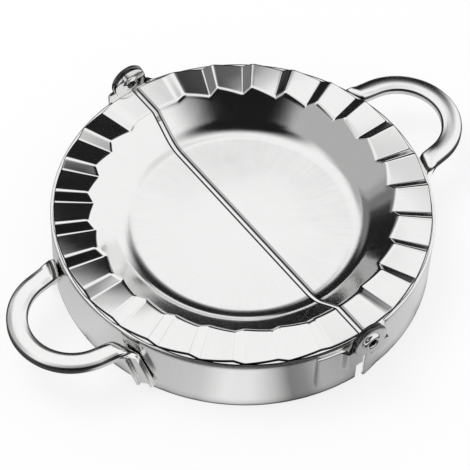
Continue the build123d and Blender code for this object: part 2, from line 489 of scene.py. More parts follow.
def ease(share: float) -> float:
    """A share that eases in and out."""
    return share * share * (3 - 2 * share)


def rounded(
    points: Sequence[tuple[float, float]], radius: float, count: int, sharp: float = 25.0
) -> list[tuple[float, float]]:
    """A closed outline with its sharp corners rounded.

    Args:
        points: The outline.
        radius: The corners' radius.
        count: Steps in each corner.
        sharp: Angle from which a corner is rounded, in degrees.

    Returns:
        The rounded outline.
    """
    made = []
    for index, here in enumerate(points):
        corner = Vector(here)
        before = Vector(points[index - 1]) - corner
        after = Vector(points[(index + 1) % len(points)]) - corner
        bend = pi - before.angle(after)
        if bend < radians(sharp):
            made.append(tuple(corner))
            continue
        cut = min(radius * tan(bend / 2), before.length / 2, after.length / 2)
        start = corner + before.normalized() * cut
        end = corner + after.normalized() * cut
        for share in steps(0, 1, count):
            on_first = start.lerp(corner, share)
            made.append(tuple(on_first.lerp(corner.lerp(end, share), share)))
    return made


@dataclass
class Sheet:
    """The outer face of a bent sheet, laid down patch by patch.

    Args:
        mesh: The patches so far.
        bevel_from: Angle from which an edge is softened, in degrees.
        sharp_from: Angle from which an edge is sharp, in degrees.
    """

    mesh: bmesh.types.BMesh = field(default_factory=bmesh.new)
    bevel_from: float = 50.0
    sharp_from: float = 38.0

    def patch(self, rows: Iterable[Iterable[Vector]]) -> None:
        """Adds a grid of faces.

        Args:
            rows: The grid's points, row by row.
        """
        made = [[self.mesh.verts.new(point) for point in row] for row in rows]
        for low, high in zip(made, made[1:]):
            for corners in zip(low, low[1:], high[1:], high):
                self.mesh.faces.new(corners)

    def finished(self, outwards: Vector, thickness: float, bevel: float) -> bpy.types.Mesh:
        """Welds the patches, and gives them a thickness and softened edges.

        Args:
            outwards: Where the outer face looks, on average.
            thickness: The sheet's thickness.
            bevel: Width of the softened edges.

        Returns:
            The sheet as a plain mesh.
        """
        bmesh.ops.remove_doubles(self.mesh, verts=self.mesh.verts, dist=WELD)
        bmesh.ops.dissolve_degenerate(self.mesh, edges=self.mesh.edges, dist=WELD)
        bmesh.ops.recalc_face_normals(self.mesh, faces=self.mesh.faces)
        facing = sum((f.normal * f.calc_area() for f in self.mesh.faces), Vector())
        if facing.dot(outwards) < 0:
            bmesh.ops.reverse_faces(self.mesh, faces=self.mesh.faces)
        face = bpy.data.meshes.new("sheet")
        self.mesh.to_mesh(face)
        self.mesh.free()
        carrier = show("carrier", face)
        wall = carrier.modifiers.new("wall", "SOLIDIFY")
        wall.thickness, wall.offset = thickness, -1
        soft = carrier.modifiers.new("soft_edges", "BEVEL")
        soft.width, soft.segments = bevel, 2
        soft.limit_method, soft.angle_limit = "ANGLE", radians(self.bevel_from)
        made = baked(carrier)
        made.shade_smooth()
        made.set_sharp_from_angle(angle=radians(self.sharp_from))
        return made


# The pieces' shapes, each where the right half has it
@dataclass
class Tray:
    """A pressed half tray: half a shallow dish and half of the fluted rim.

    Args:
        rim_level: Mean height of the rim.
        rim_radius: Radius of the rim's outer edge.
        inner_radius: Radius at which the dish wall meets the rim.
        sheet: Thickness of the sheet.
        half_seam: Half the gap between the trays.
        rise: Height that one flute climbs.
        pitch: Angle from flute to flute, in degrees.
        step: Angle over which a flute drops, in degrees.
        risers: Number of drops on the half.
        dish_depth: Depth of the dish.
        dish_slope: Slope of the dish wall, in degrees.
        dish_corner: Radius between floor and wall.
        ridge_ease: Softness of the ridges, as a share of the crest.
        valley_ease: Softness of the valleys between them, the same way.
        crease_ease: Softness of the crease between wall and rim.
        edge_round: Radius of the sheet's outer edges.
        columns: Points round the half.
        rows: Points outwards.
        sharp: Angle from which an edge is sharp, in degrees.
    """

    rim_level: float = 17.2 * MM
    rim_radius: float = 46.85 * MM
    inner_radius: float = 37.75 * MM
    sheet: float = 0.6 * MM
    half_seam: float = 0.5 * MM
    rise: float = 1.25 * MM
    pitch: float = 13.0
    step: float = 3.3
    risers: int = 13
    dish_depth: float = 6.4 * MM
    dish_slope: float = 38.0
    dish_corner: float = 8.5 * MM
    ridge_ease: float = 0.8
    valley_ease: float = 0.35
    crease_ease: float = 0.5 * MM
    edge_round: float = 0.12 * MM
    columns: int = 721
    rows: int = 61
    sharp: float = 38.0

    def mesh(self, tree: bpy.types.NodeTree, steel: bpy.types.Material) -> bpy.types.Mesh:
        """Builds the tray from its rule.

        Args:
            tree: The tree of a tray.
            steel: The piece's material.

        Returns:
            The tray where the right half has it.
        """
        values = {name.replace("_", " ").title(): value for name, value in vars(self).items()}
        values |= {"Crest": self.rise / 2, "Dish Slope": radians(self.dish_slope)}
        values |= {"Last Step": self.pitch * (self.risers - 1) / 2, "Material": steel}
        mesh = grown(tree, line_mesh([(0, 0, 0)]), values)
        mesh.set_sharp_from_angle(angle=radians(self.sharp))
        return mesh


@dataclass
class Hinge:
    """Places and sizes that the ear, the leaf and the rivet share.

    Args:
        pivot_level: Height of the hinge axis.
        skirt_outer: Radius of the skirt's outer face.
        half_end: Half the gap between the skirts' ends.
        sheet: Thickness of the ear and of the leaf.
        tongue_outer: Distance of the tongue's outer face from the X axis.
        ear_outer: Distance of the ear's outer face from the X axis.
        bore: Radius of the rivet's hole in the ear.
        running_bore: Radius of the rivet's hole in the tongue.
        bevel: Width of the softened edges.
        eye_facets: Faces round an eye, apart from its web.
        rings: Rows of faces in an eye, and in its web.
    """

    pivot_level: float = 17.55 * MM
    skirt_outer: float = 47.7 * MM
    half_end: float = 1.0 * MM
    sheet: float = 0.8 * MM
    tongue_outer: float = 49.6 * MM
    ear_outer: float = 50.5 * MM
    bore: float = 1.5 * MM
    running_bore: float = 1.55 * MM
    bevel: float = 0.13 * MM
    eye_facets: int = 30
    rings: int = 4

    def skirt_y(self, x: float) -> float:
        """Distance of the skirt's outer face from the X axis, at x."""
        return sqrt(self.skirt_outer**2 - x * x)

    def circle(self, radius: float, turns: Iterable[float], y: float) -> list[Vector]:
        """Points on a circle about the hinge axis."""
        return [Vector((radius * cos(a), y, self.pivot_level + radius * sin(a))) for a in turns]

    def eye(
        self, sheet: Sheet, y: float, hole: float, radius: float, edge: list, last: float
    ) -> None:
        """Adds a flat eye round the hinge axis, and the web that ties it to the rest.

        Args:
            sheet: The sheet that gets them.
            y: Their place along Y.
            hole: Radius of the hole.
            radius: Radius of the eye.
            edge: The web's other edge in x and z, from its point nearest the seam.
            last: Angle at which the web leaves the eye, in radians.
        """
        first = -acos(self.half_end / radius)
        web = steps(first, last, len(edge) - 1)
        whole = web + steps(last, first + 2 * pi, self.eye_facets)[1:]
        sheet.patch(self.circle(size, whole, y) for size in steps(hole, radius, self.rings))
        pairs = [(a, Vector((x, y, z))) for a, (x, z) in zip(self.circle(radius, web, y), edge)]
        sheet.patch([a.lerp(b, share) for a, b in pairs] for share in steps(0, 1, self.rings))


@dataclass
class Skirt:
    """The cutting ring of one half, with its front end pressed out into an ear.

    Args:
        hinge: The hinge's shared sizes.
        top: Height of the skirt.
        first_row: Height of the lowest row of faces.
        ear_radius: Radius of the ear.
        ear_side: Where the ear's outer side is, from the seam.
        slit: Width of the slit beside the ear.
        foot: Height of the slit's foot, above which the ear steps outwards.
        joggle: Height over which the ear steps outwards.
        foot_step: How far the strip's end stands out below the step.
        wall_facets: Faces round the ring.
        end_facets: Faces across the strip's end.
        low_rows: Rows of faces up to the slit's foot, above the first.
        high_rows: Rows of faces from there to the top.
        joggle_rows: Rows of faces in the step.
        side_rows: Faces up the ear's outer side.
    """

    hinge: Hinge
    top: float = 16.475 * MM
    first_row: float = 1.2 * MM
    ear_radius: float = 4.75 * MM
    ear_side: float = 5.9 * MM
    slit: float = 1.1 * MM
    foot: float = 8.0 * MM
    joggle: float = 4.4 * MM
    foot_step: float = 0.7 * MM
    wall_facets: int = 86
    end_facets: int = 7
    low_rows: int = 6
    high_rows: int = 4
    joggle_rows: int = 10
    side_rows: int = 6

    def wall_point(self, angle: float, height: float) -> Vector:
        """A point on the skirt's outer face."""
        radius = self.hinge.skirt_outer
        return Vector((radius * cos(angle), radius * sin(angle), height))

    def end_point(self, x: float, height: float) -> Vector:
        """A point on the outer face of the strip's end, which steps out below the ear.

        Args:
            x: Distance from the seam.
            height: Height above the table.

        Returns:
            The point.
        """
        beside = (self.ear_side - x) / (self.ear_side - self.hinge.half_end)
        wall = self.hinge.skirt_y(x) + self.foot_step * max(0, beside)
        share = ease(min(1, max(0, (height - self.foot) / self.joggle)))
        return Vector((x, -wall - (self.hinge.ear_outer - wall) * share, height))

    def angle_at(self, x: float) -> float:
        """Angle from the half's middle at which the outer face is at x."""
        return acos(x / self.hinge.skirt_outer)

    def mesh(self) -> bpy.types.Mesh:
        """Builds the skirt.

        Returns:
            The skirt where the right half has it.
        """
        hinge, sheet = self.hinge, Sheet()
        sides = steps(hinge.half_end, self.ear_side, self.end_facets)
        slit_edge = self.ear_side + self.slit
        start, end = -self.angle_at(slit_edge), self.angle_at(hinge.half_end)
        wall = steps(start, end, self.wall_facets)
        low = [0, *steps(self.first_row, self.foot, self.low_rows)]
        high = steps(self.foot, self.top, self.high_rows)
        shoulder = self.foot + self.joggle
        joggle = steps(self.foot, shoulder, self.joggle_rows)
        sheet.patch([self.wall_point(a, z) for a in wall] for z in low + high[1:])
        sheet.patch([self.end_point(x, z) for x in [*sides, slit_edge]] for z in low)
        sheet.patch([self.end_point(x, z) for x in sides] for z in joggle)
        drop = self.ear_radius / 2
        rises = steps(shoulder, hinge.pivot_level - drop, self.side_rows)
        edge = [(x, shoulder) for x in sides] + [(self.ear_side, z) for z in rises[1:]]
        last = atan2(-drop, self.ear_side)
        hinge.eye(sheet, -hinge.ear_outer, hinge.bore, self.ear_radius, edge, last)
        return sheet.finished(Vector((1, 0, 0)), hinge.sheet, hinge.bevel)


@dataclass
class Leaf:
    """The hinge leaf on the rear end of a half: a pad, and a tongue past the seam.

    Args:
        hinge: The hinge's shared sizes.
        pad_start: Angle between the seam line and the pad's near edge, in degrees.
        pad_angle: Angle that the pad covers, in degrees.
        pad_bottom: Height of the pad's bottom edge.
        pad_top: Height of the pad's top edge.
        tongue_bottom: Height of the tongue's bottom edge.
        tongue_start: Where the tongue lies flat, from the seam.
        tongue_radius: Radius of the tongue's round end.
        shoulder: Angle at which the tongue's slanting edge meets its round end, in degrees.
        bend: How far each end of the bend runs straight on, as a share of its length.
        facets: Faces across the pad.
        bend_facets: Faces along the bend.
        foot_facets: Faces along the tongue's bottom edge.
        slant_facets: Faces along its slanting edge.
        low_rows: Rows of faces below the tongue.
        rows: Rows of faces from there to the pad's top.
    """

    hinge: Hinge
    pad_start: float = 8.5
    pad_angle: float = 6.7
    pad_bottom: float = 4.5 * MM
    pad_top: float = 15.775 * MM
    tongue_bottom: float = 9.0 * MM
    tongue_start: float = 5.2 * MM
    tongue_radius: float = 4.6 * MM
    shoulder: float = -1.0
    bend: float = 0.45
    facets: int = 8
    bend_facets: int = 10
    foot_facets: int = 5
    slant_facets: int = 3
    low_rows: int = 5
    rows: int = 8

    def bend_line(self, outer: float, near: float) -> list[Vector]:
        """The bend between pad and tongue, seen from above.

        Args:
            outer: Radius of the pad's outer face.
            near: Angle of the pad's near edge, in radians.

        Returns:
            Its points, from the pad.
        """
        start = Vector((outer * cos(near), outer * sin(near), 0))
        end = Vector((self.tongue_start, self.hinge.tongue_outer, 0))
        reach = (end - start).length * self.bend
        lean = Vector((-sin(near), cos(near), 0))
        ways = (start, start + lean * reach, end + Vector((reach, 0, 0)), end)
        line = []
        for t in steps(0, 1, self.bend_facets):
            weights = ((1 - t) ** 3, 3 * t * (1 - t) ** 2, 3 * t * t * (1 - t), t**3)
            line.append(sum((way * weight for way, weight in zip(ways, weights)), Vector()))
        return line

    def mesh(self) -> bpy.types.Mesh:
        """Builds the leaf.

        Returns:
            The leaf where the right half has it.
        """
        hinge, sheet = self.hinge, Sheet()
        outer = hinge.skirt_outer + hinge.sheet
        near = radians(90 - self.pad_start)
        turns = steps(near - radians(self.pad_angle), near, self.facets)
        upper = steps(self.tongue_bottom, self.pad_top, self.rows)
        all_rows = steps(self.pad_bottom, self.tongue_bottom, self.low_rows)[:-1] + upper
        sheet.patch([Vector((outer * cos(a), outer * sin(a), z)) for a in turns] for z in all_rows)
        line = self.bend_line(outer, near)
        sheet.patch([Vector((p.x, p.y, z)) for p in line] for z in upper)
        last = radians(self.shoulder)
        foot = steps(hinge.half_end, self.tongue_start, self.foot_facets)
        edge = [(x, self.tongue_bottom) for x in foot]
        edge += [(self.tongue_start, z) for z in upper[1:]]
        corner, top = Vector(edge[-1]), hinge.circle(self.tongue_radius, [last], 0)[0].xz
        edge += [tuple(corner.lerp(top, share)) for share in steps(0, 1, self.slant_facets)[1:]]
        hinge.eye(sheet, hinge.tongue_outer, hinge.running_bore, self.tongue_radius, edge, last)
        return sheet.finished(Vector((0, 1, 0)), hinge.sheet, hinge.bevel)


@dataclass
class Rivet:
    """The rivet in the front ear: a rolled head outside, a shank, and a tail inside.

    Args:
        hinge: The hinge's shared sizes.
        head_radius: Radius of the head.
        head_height: Height of the head.
        head_round: How far the head's lower edge is set in.
        well_radius: Radius of the well in the head.
        well_sink: Depth of the well below the ear's outer face.
        well_round: Height of the rounding at the well's foot.
        well_foot: Shares of the well's radius at which the rounding starts and ends.
        tail_radius: Radius of the tail.
        tail_height: Height of the tail.
        clearance: Gap between the tail and the tongue.
        guide: Radius of the circle that the outline is carried round.
        facets: Sides of the turned piece.
        roll_facets: Faces over the rolled head.
        dome_facets: Faces over the tail.
        sharp: Angle from which an edge is sharp, in degrees.
    """

    hinge: Hinge
    head_radius: float = 2.6 * MM
    head_height: float = 0.8 * MM
    head_round: float = 0.02 * MM
    well_radius: float = 0.95 * MM
    well_sink: float = 0.4 * MM
    well_round: float = 0.15 * MM
    well_foot: tuple[float, float] = (0.92, 0.7)
    tail_radius: float = 2.3 * MM
    tail_height: float = 0.6 * MM
    clearance: float = 0.05 * MM
    guide: float = 1.0 * MM
    facets: int = 48
    roll_facets: int = 14
    dome_facets: int = 8
    sharp: float = 50.0

    def outline(self) -> list[tuple[float, float]]:
        """Half outline of the rivet, from the tail's middle to the middle of the well.

        Returns:
            Radius and distance from the tail's flat side, for each point.
        """
        hinge, high, tail = self.hinge, self.head_height, self.tail_height
        ear = hinge.ear_outer - hinge.tongue_outer + hinge.sheet + self.clearance
        middle = (self.head_radius + self.well_radius) / 2
        half = self.head_radius - middle
        turns = steps(0, pi, self.roll_facets)
        roll = [(middle + half * cos(a), ear + high * sin(a)) for a in turns]
        floor = ear - self.well_sink
        start, end = (self.well_radius * share for share in self.well_foot)
        well = [(start, floor + self.well_round), (end, floor), (0, floor)]
        curve = (self.tail_radius**2 + tail**2) / (2 * tail)
        turns = steps(0, asin(self.tail_radius / curve), self.dome_facets)
        dome = [(curve * sin(a), curve - tail - curve * cos(a)) for a in turns]
        shank = [(hinge.bore, 0), (hinge.bore, ear), (self.head_radius - self.head_round, ear)]
        return dome + shank + roll + well

    def mesh(self, tree: bpy.types.NodeTree, steel: bpy.types.Material) -> bpy.types.Mesh:
        """Turns the rivet and lays it along the hinge axis.

        Args:
            tree: The tree of a turned piece.
            steel: The piece's material.

        Returns:
            The rivet where the right half has it.
        """
        points = [(radius - self.guide, along, 0) for radius, along in self.outline()]
        values = {"Guide Radius": self.guide, "Facets": self.facets, "Material": steel}
        mesh = grown(tree, line_mesh(points), values)
        inner_face = self.hinge.tongue_outer - self.hinge.sheet - self.clearance
        lay = Matrix.Translation((0, -inner_face, self.hinge.pivot_level))
        mesh.transform(lay @ Matrix.Rotation(-pi / 2, 4, "X"))
        return closed_mesh(mesh, self.sharp)


@dataclass
class BailHandle:
    """A channel strip bent to a loop, with both ends folded down on the skirt at a slant.

    Args:
        skirt_outer: Radius of the skirt's outer face.
        level: Height of the loop's crown.
        stand: How far the strip's middle stands out from the skirt.
        loop: Radius of the loop's round end, at the strip's middle.
        flare: How much the sides spread towards the skirt, in degrees.
        leg: Angle at which the legs lie on the skirt, in degrees.
        width: Width of the strip.
        height: Height of the channel.
        sheet: Thickness of the strip.
        crown_rise: Rise of the crown over its sides.
        shoulder: Radius of the crown's rolled shoulders.
        shoulder_sink: How far their middle lies below the crown's sides, as a share of that.
        bend: Radius of the fold, at the crown.
        foot: Height at which the legs end.
        turn: Turn of the whole handle about Z, in degrees.
        edge: Radius of the strip's other edges.
        crown_facets: Faces across the crown.
        shoulder_facets: Faces round a shoulder.
        edge_facets: Faces round another edge.
        leg_facets: Faces along a leg.
        fold_facets: Faces along a fold.
        loop_facets: Faces along half the loop.
        sharp: Angle from which an edge is sharp, in degrees.
    """

    skirt_outer: float = 47.7 * MM
    level: float = 14.0 * MM
    stand: float = 17.2 * MM
    loop: float = 13.4 * MM
    flare: float = 8.0
    leg: float = 21.0
    width: float = 5.2 * MM
    height: float = 2.0 * MM
    sheet: float = 0.8 * MM
    crown_rise: float = 0.3 * MM
    shoulder: float = 0.6 * MM
    shoulder_sink: float = 0.9
    bend: float = 3.6 * MM
    foot: float = 0.8 * MM
    turn: float = 1.1
    edge: float = 0.15 * MM
    crown_facets: int = 8
    shoulder_facets: int = 5
    edge_facets: int = 2
    leg_facets: int = 6
    fold_facets: int = 16
    loop_facets: int = 30
    sharp: float = 42.0

    def section(self) -> list[tuple[float, float]]:
        """Outline of the channel, with its crown at the origin and its sides along -x.

        Returns:
            The outline's points.
        """
        rise, outer, roll = self.crown_rise, self.width / 2, self.shoulder
        crown = (outer**2 + rise**2) / (2 * rise)
        sweep = asin((outer - roll) / crown)
        turns = steps(-sweep, sweep, self.crown_facets)
        top = [(crown * sin(a), crown * cos(a) - crown) for a in turns]
        middle = -rise - roll * self.shoulder_sink
        turns = steps(pi / 2, 0, self.shoulder_facets)
        side = [(outer - roll * (1 - cos(a)), middle + roll * sin(a)) for a in turns]
        inner, roof, low = outer - self.sheet, -rise - self.sheet, -self.height
        corners = [(outer, roof), (outer, low), (inner, low), (inner, roof)]
        foot = rounded(corners, self.edge, self.edge_facets)
        right = side + foot[1:-1] + [(inner, roof)]
        return [(y, x) for x, y in top[1:-1] + right + [(-x, y) for x, y in reversed(right)]]

    def half_line(self) -> list[tuple[Vector, Vector]]:
        """The line of half the handle, from a leg's foot to the middle of the loop's end.

        Returns:
            Place and crown direction of each point.
        """
        flare, leg = radians(self.flare), radians(self.leg)
        slant = leg + flare
        up, out = Vector((0, 0, 1)), Vector((cos(leg), sin(leg), 0))
        along = up.cross(out)
        centre = Vector((self.skirt_outer + self.stand - self.loop, 0, self.level))
        turns = steps(pi / 2 - flare, 0, self.loop_facets)
        arc = [centre + Vector((cos(a), sin(a), 0)) * self.loop for a in turns]
        inwards = along * sin(slant) - out * cos(slant)
        fold = arc[0] + inwards * ((arc[0].dot(out) - self.skirt_outer - self.bend) / cos(slant))
        axis = fold - up * self.bend
        line = []
        for turn in steps(pi / 2, 0, self.fold_facets):
            crown = up * cos(turn) - out * sin(turn)
            sideways = along * (self.bend * turn * tan(slant))
            line.append((axis + crown * self.bend + sideways, crown))
        top = line[0][0]
        down = along * sin(slant) - up * cos(slant)
        length = (top.z - self.foot - self.width / 2 * sin(slant)) / cos(slant)
        ways = steps(length, 0, self.leg_facets)[:-1]
        straight = [(top + down * way, -out) for way in ways]
        return straight + line + [(point, up) for point in arc]

    def mesh(self, tree: bpy.types.NodeTree, steel: bpy.types.Material) -> bpy.types.Mesh:
        """Carries the section along the loop.

        Args:
            tree: The tree of a carried strip.
            steel: The piece's material.

        Returns:
            The handle where the right half has it.
        """
        half = self.half_line()
        flip = Vector((1, -1, 1))
        whole = half + [(point * flip, lift * flip) for point, lift in reversed(half[:-1])]
        path = line_mesh([point for point, _ in whole])
        lifts = path.attributes.new("lift", "FLOAT_VECTOR", "POINT")
        lifts.data.foreach_set("vector", [part for _, lift in whole for part in lift])
        section = show("section", line_mesh(self.section(), closed=True))
        mesh = grown(tree, path, {"Section": section, "Material": steel})
        bpy.data.objects.remove(section)
        mesh.transform(Matrix.Rotation(radians(self.turn), 4, "Z"))
        return closed_mesh(mesh, self.sharp)


# Finishes
FINE_STREAKS, BROAD_SCALE, STREAK_RANGE = 0.6, 0.23, (0.3, 0.7)
HAZE_RANGE = (0.42, 0.7)


class NoiseGroup(Group):
    """A shader group that makes one number from noise at a vector.

    Args:
        name: The group's name.
        output: The number's name.
    """

    def __init__(self, name: str, output: str) -> None:
        """Makes the group with the sockets that noise needs."""
        inputs = {"Vector": VECTOR, "Scale": FLOAT}
        super().__init__(name, "ShaderNodeTree", inputs, {output: FLOAT})

    def noise(self, scale: float = 1.0, **values: float) -> Field:
        """Noise at the vector, at a share of the group's scale."""
        inputs = {"Vector": self.given["Vector"], "Scale": self.given["Scale"] * scale}
        return self.out("ShaderNodeTexNoise", inputs | values)


def streaks_group() -> bpy.types.NodeTree:
    """Shader group of fine drawn streaks, from a vector that is already stretched.

    Returns:
        The group.
    """
    group = NoiseGroup("drawn_streaks", "Streak")
    fine, broad = group.noise(Detail=3.0), group.noise(scale=BROAD_SCALE)
    mixed = fine * FINE_STREAKS + broad * (1 - FINE_STREAKS)
    return group.giving(Streak=group.share(mixed, *STREAK_RANGE))


def haze_group() -> bpy.types.NodeTree:
    """Shader group of the soft blotches that handling leaves on polished steel.

    Returns:
        The group.
    """
    group = NoiseGroup("handling_haze", "Haze")
    cloud = group.noise(Detail=4.0, Distortion=0.6)
    return group.giving(Haze=group.share(cloud, *HAZE_RANGE, soft=True))


def waviness_group() -> bpy.types.NodeTree:
    """Shader group of the slow unevenness that pressing leaves in a thin sheet."""
    group = NoiseGroup("sheet_waviness", "Height")
    return group.giving(Height=group.noise(Detail=1.0))


def around_group() -> bpy.types.NodeTree:
    """Shader group that reads a point as radius and angle about the Z axis.

    Returns:
        The group.
    """
    outputs = {"Radius": FLOAT, "Angle": FLOAT}
    group = Group("about_axis", "ShaderNodeTree", {"Vector": VECTOR}, outputs)
    x, y, _ = group.split(group.given["Vector"])
    angle = group.math("ARCTAN2", group.math("ABSOLUTE", y), x)
    return group.giving(Radius=group.math("SQRT", x * x + y * y), Angle=angle)


@dataclass(frozen=True)
class SharedEffects:
    """The shader groups that the finishes share, built once.

    Args:
        streaks: Fine drawn streaks.
        haze: Blotches from handling.
        waviness: Slow unevenness of the sheet.
        around: Radius and angle about the Z axis.
    """

    streaks: bpy.types.NodeTree = field(default_factory=streaks_group)
    haze: bpy.types.NodeTree = field(default_factory=haze_group)
    waviness: bpy.types.NodeTree = field(default_factory=waviness_group)
    around: bpy.types.NodeTree = field(default_factory=around_group)


class Spot:
    """The place on a piece that is being shaded.

    Args:
        graph: The material's graph.
        around: The shader group that reads a point about the Z axis.
    """

    def __init__(self, graph: Graph, around: bpy.types.NodeTree) -> None:
        """Reads the place from the piece's own coordinates."""
        self.point = graph.field(graph.node("ShaderNodeTexCoord"), "Object")
        self.x, self.y, self.z = graph.split(self.point)
        read = graph.node("ShaderNodeGroup", {"Vector": self.point}, node_tree=around)
        self.radius, self.angle = graph.field(read, "Radius"), graph.field(read, "Angle")


@dataclass(frozen=True)
class SteelFinish:
    """A stainless steel surface, with fine marks that run no one way.

    Args:
        name: The material's name.
        slot: The record's material slot.
        colour: Grey level of the steel.
        roughness: Roughness where the steel is clean.
        haze: How much handling adds to the roughness.
        streak: How much the drawn streaks add to the roughness.
        streak_depth: How deep the streaks are, in metres.
        wave_depth: How deep the slow unevenness is, in metres.
        cut_tone: Grey level of the painted shade on edges, shoulders and wells.
        fade: Length over which an edge's tone fades in.
        blue: Blue of the steel, as a share of its grey level.
        streak_scale: Scale of the streaks.
        haze_scale: Scale of the haze.
        wave_scale: Scale of the unevenness.
        even: Stretch of the marks that run no one way.
    """

    name: str
    slot: str
    colour: float
    roughness: float
    haze: float
    streak: float
    streak_depth: float = 0.0
    wave_depth: float = 0.0
    cut_tone: float = 0.08
    fade: float = 0.1 * MM
    blue: float = 0.995
    streak_scale: float = 60.0
    haze_scale: float = 55.0
    wave_scale: float = 130.0
    even: float = 40.0

    def grain(self, graph: Graph, spot: Spot) -> Field:
        """The vector that the streaks are read from."""
        return graph.vector(spot.x * self.even, spot.y * self.even, spot.z * self.even)

    def calm(self, graph: Graph, spot: Spot) -> Field | float:
        """The share of the streaks that shows."""
        return 1.0

    def clean_roughness(self, graph: Graph, spot: Spot) -> Field | float:
        """Roughness of the clean steel."""
        return self.roughness

    def marks(self, graph: Graph, spot: Spot) -> list[tuple[float, Field]]:
        """Grey level and share of each patch of painted shade, in the order they are laid."""
        return []

    def material(self, effects: SharedEffects) -> bpy.types.Material:
        """Builds the material.

        Args:
            effects: The shared shader groups.

        Returns:
            The material.
        """
        made = bpy.data.materials.new(self.name)
        made.use_nodes = True
        graph = Graph(made.node_tree)
        shader = made.node_tree.nodes["Principled BSDF"]
        shader.inputs["Metallic"].default_value = 1.0
        spot = Spot(graph, effects.around)
        streak = graph.effect(effects.streaks, self.grain(graph, spot), self.streak_scale)
        streak = streak * self.calm(graph, spot)
        haze = graph.effect(effects.haze, spot.point, self.haze_scale)
        wave = graph.effect(effects.waviness, spot.point, self.wave_scale)
        rough = self.clean_roughness(graph, spot) + streak * self.streak + haze * self.haze
        graph.put(shader.inputs["Roughness"], rough - self.streak / 2)
        tone = self.colour * (1 - streak * (self.streak / 2))
        # Each mark is painted shade, laid over the steel's own tone
        for grey, share in self.marks(graph, spot):
            tone = tone + (grey - tone) * share
        graph.put(shader.inputs["Base Color"], graph.vector(tone, tone, tone * self.blue))
        height = wave * self.wave_depth + streak * self.streak_depth
        inputs = {"Height": height, "Distance": 1.0, "Strength": 1.0}
        graph.put(shader.inputs["Normal"], graph.out("ShaderNodeBump", inputs))
        return made


@dataclass(frozen=True)
class TrayFinish(SteelFinish):
    """Steel of the trays, bright on the rim, with painted shade along the sheet's edges.

    The fields that aren't listed here are those of SteelFinish.

    Args:
        stretch: Stretch of the streaks round, outwards and upwards.
        calm_from: Radii between which the streaks come in.
        bright_from: Radius from which the steel is polished bright.
        bright_fade: Length over which it becomes so.
        bright_roughness: Roughness of the bright steel.
        wall: Shares of the radius between which the floor goes over into the wall.
        wall_roughness: Roughness of the sloping wall.
        rim: Radius beyond which painted shade darkens the rim's cut edge.
        seam: Where painted shade darkens the sheet by the seam, on the left half and on the right.
        rolled: Where the band of painted shade for the right half's rolled edge along the seam
            ends.
        rolled_tone: Grey level of that band of painted shade.
    """

    name: str = "pressed_tray_steel"
    slot: str = "tray_steel"
    colour: float = 0.88
    roughness: float = 0.12
    haze: float = 0.04
    streak: float = 0.05
    streak_depth: float = 0.001 * MM
    wave_depth: float = 0.03 * MM
    cut_tone: float = 0.04
    stretch: tuple[float, float, float] = (1.2, 4.0, 4.0)
    calm_from: tuple[float, float] = (6 * MM, 26 * MM)
    bright_from: float = 37.6 * MM
    bright_fade: float = 1.2 * MM
    bright_roughness: float = 0.07
    wall: tuple[float, float] = (0.75, 0.84)
    wall_roughness: float = 0.08
    rim: float = 46.7 * MM
    seam: tuple[float, float] = (-1.05 * MM, 0.75 * MM)
    rolled: float = 1.35 * MM
    rolled_tone: float = 0.45

    def grain(self, graph: Graph, spot: Spot) -> Field:
        """Streaks that run from the middle outwards."""
        turn, out, up = self.stretch
        return graph.vector(spot.angle * turn, spot.radius * out, spot.z * up)

    def calm(self, graph: Graph, spot: Spot) -> Field:
        """The floor's middle has no streaks."""
        return graph.share(spot.radius, *self.calm_from)

    def clean_roughness(self, graph: Graph, spot: Spot) -> Field:
        """Roughness of the clean steel, from floor to wall to rim.

        Args:
            graph: The material's graph.
            spot: The place that is being shaded.

        Returns:
            The roughness.
        """
        start, end = (self.bright_from * share for share in self.wall)
        wall = graph.share(spot.radius, start, end, soft=True)
        start = self.bright_from - self.bright_fade
        rim = graph.share(spot.radius, start, self.bright_from, soft=True)
        rough = self.roughness + wall * (self.wall_roughness - self.roughness)
        return rough + rim * (self.bright_roughness - self.wall_roughness)

    def marks(self, graph: Graph, spot: Spot) -> list[tuple[float, Field]]:
        """Painted shade: the right half's rolled edge, then the cut edges at the rim and the seam.

        Args:
            graph: The material's graph.
            spot: The place that is being shaded.

        Returns:
            Grey level and share of each mark.
        """
        fade, (left, right) = self.fade, self.seam
        # Painted shade: a grey band for the rolled edge, and dark lines at the cut edges
        rolled = graph.share(spot.x, self.rolled, self.rolled - fade)
        rolled = rolled * graph.share(spot.x, 0, fade)
        rim = graph.share(spot.radius, self.rim - fade, self.rim)
        seam = graph.share(spot.x, left, left + fade) * graph.share(spot.x, right, right - fade)
        cut = graph.math("MAXIMUM", rim, seam)
        return [(self.rolled_tone, rolled), (self.cut_tone, cut)]


@dataclass(frozen=True)
class EyeFinish(SteelFinish):
    """Steel of a sheet with an eye round the hinge axis, its cut edge darkened by painted shade.

    Args:
        eye: Distance from the hinge axis beyond which painted shade darkens the cut edge.
        eye_foot: Height above the axis from which it shows.
        eye_inner: Distance from the Z axis beyond which it shows.
    """

    eye: float = 4.62 * MM
    eye_foot: float = -2.2 * MM
    eye_inner: float = 48.55 * MM

    def away(self, graph: Graph, spot: Spot) -> Field:
        """Distance from the hinge axis."""
        rise = spot.z - Hinge.pivot_level
        return graph.math("SQRT", spot.x * spot.x + rise * rise)

    def marks(self, graph: Graph, spot: Spot) -> list[tuple[float, Field]]:
        """Painted shade on the eye's cut edge.

        Args:
            graph: The material's graph.
            spot: The place that is being shaded.

        Returns:
            Grey level and share of each mark.
        """
        rise, fade = spot.z - Hinge.pivot_level, self.fade
        edge = graph.share(self.away(graph, spot), self.eye, self.eye + fade)
        edge = edge * graph.share(rise, self.eye_foot - fade, self.eye_foot)
        edge = edge * graph.share(spot.radius, self.eye_inner, self.eye_inner + fade)
        return [(self.cut_tone, edge)]


